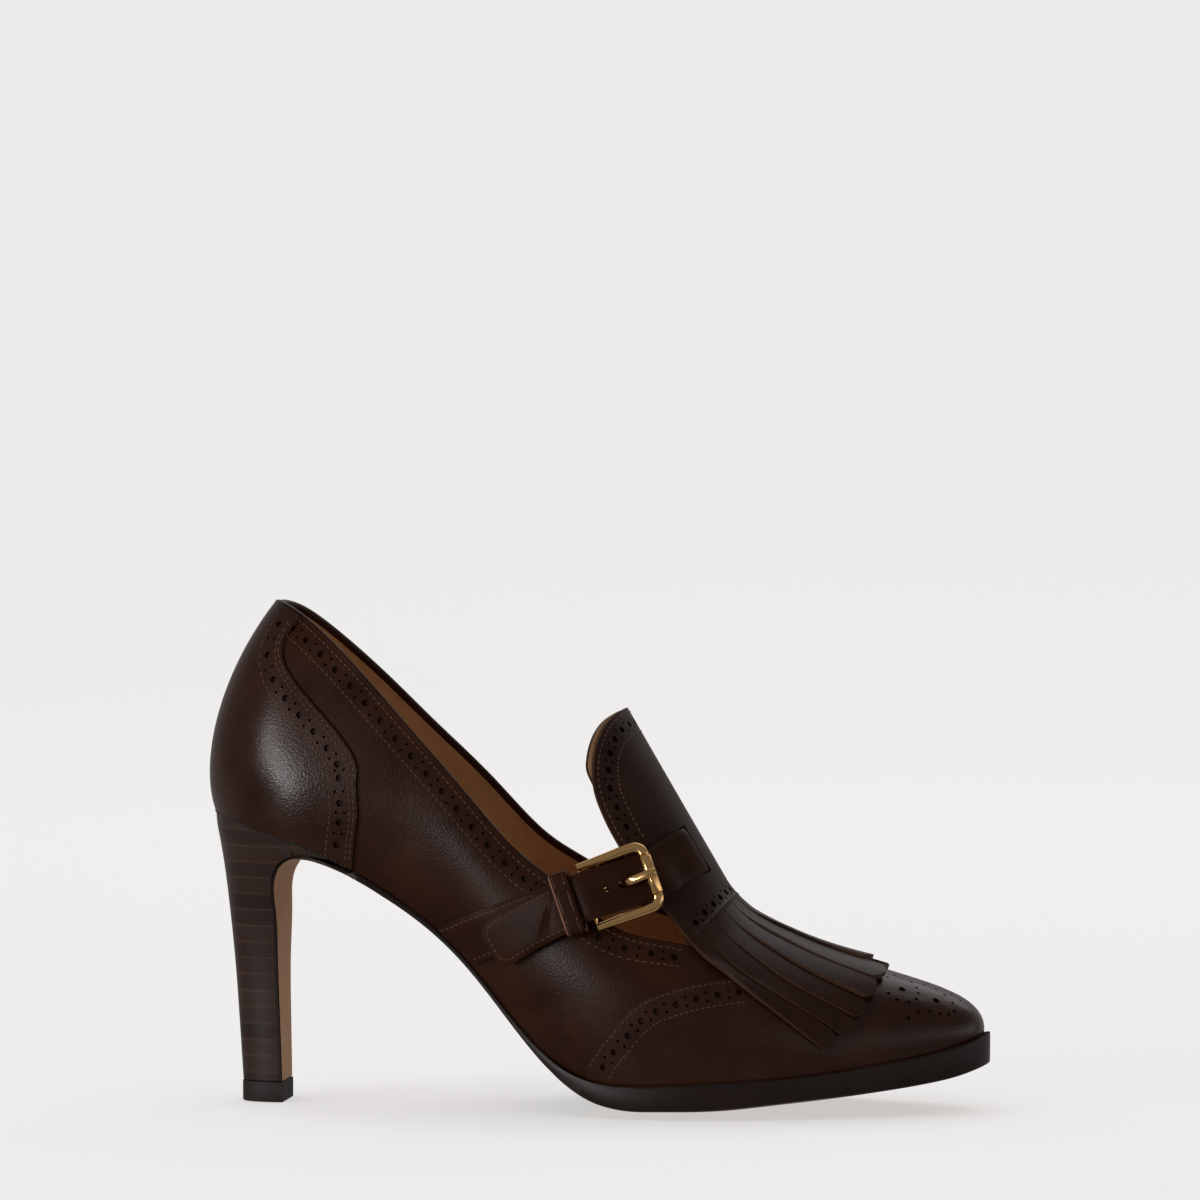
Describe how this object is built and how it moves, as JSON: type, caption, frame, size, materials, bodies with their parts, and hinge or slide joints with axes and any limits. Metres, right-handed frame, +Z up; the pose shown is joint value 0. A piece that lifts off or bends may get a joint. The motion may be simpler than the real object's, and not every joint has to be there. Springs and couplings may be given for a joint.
{
  "type": "kiltie pump",
  "caption": "High-heeled leather pump for the right foot, with perforated wing toe and heel counter, a fringed kiltie over the tongue and a strap with a roller buckle.",
  "frame": {"origin": "centre of the bounding box on the floor", "axes": "+X towards the toe, +Y towards the inner (medial) side of the right foot, +Z up"},
  "size_m": [0.2386, 0.086, 0.1528],
  "materials": {
    "brown_calf": "satin",
    "brown_calf_overlay": "satin",
    "brown_calf_kiltie": "satin",
    "brown_calf_strap": "satin",
    "tan_lining": "matte",
    "tan_sock": "matte",
    "dark_sole": "satin",
    "stacked_wood": "satin",
    "dark_rubber": "matte",
    "gold_plate": "polished"
  },
  "bodies": {
    "root": {"outsole": "dark_sole", "heel": "stacked_wood", "top_piece": "dark_rubber", "insole": "tan_sock", "upper": "brown_calf", "heel_counter": "brown_calf_overlay", "toe_wing": "brown_calf_overlay", "tongue": "tan_lining", "kiltie": "brown_calf_kiltie", "strap_billet": "brown_calf_strap", "strap": "brown_calf_strap", "keeper": "brown_calf_strap", "buckle_frame": "gold_plate", "buckle_roller": "gold_plate", "buckle_prong": "gold_plate"}
  },
  "joints": []
}
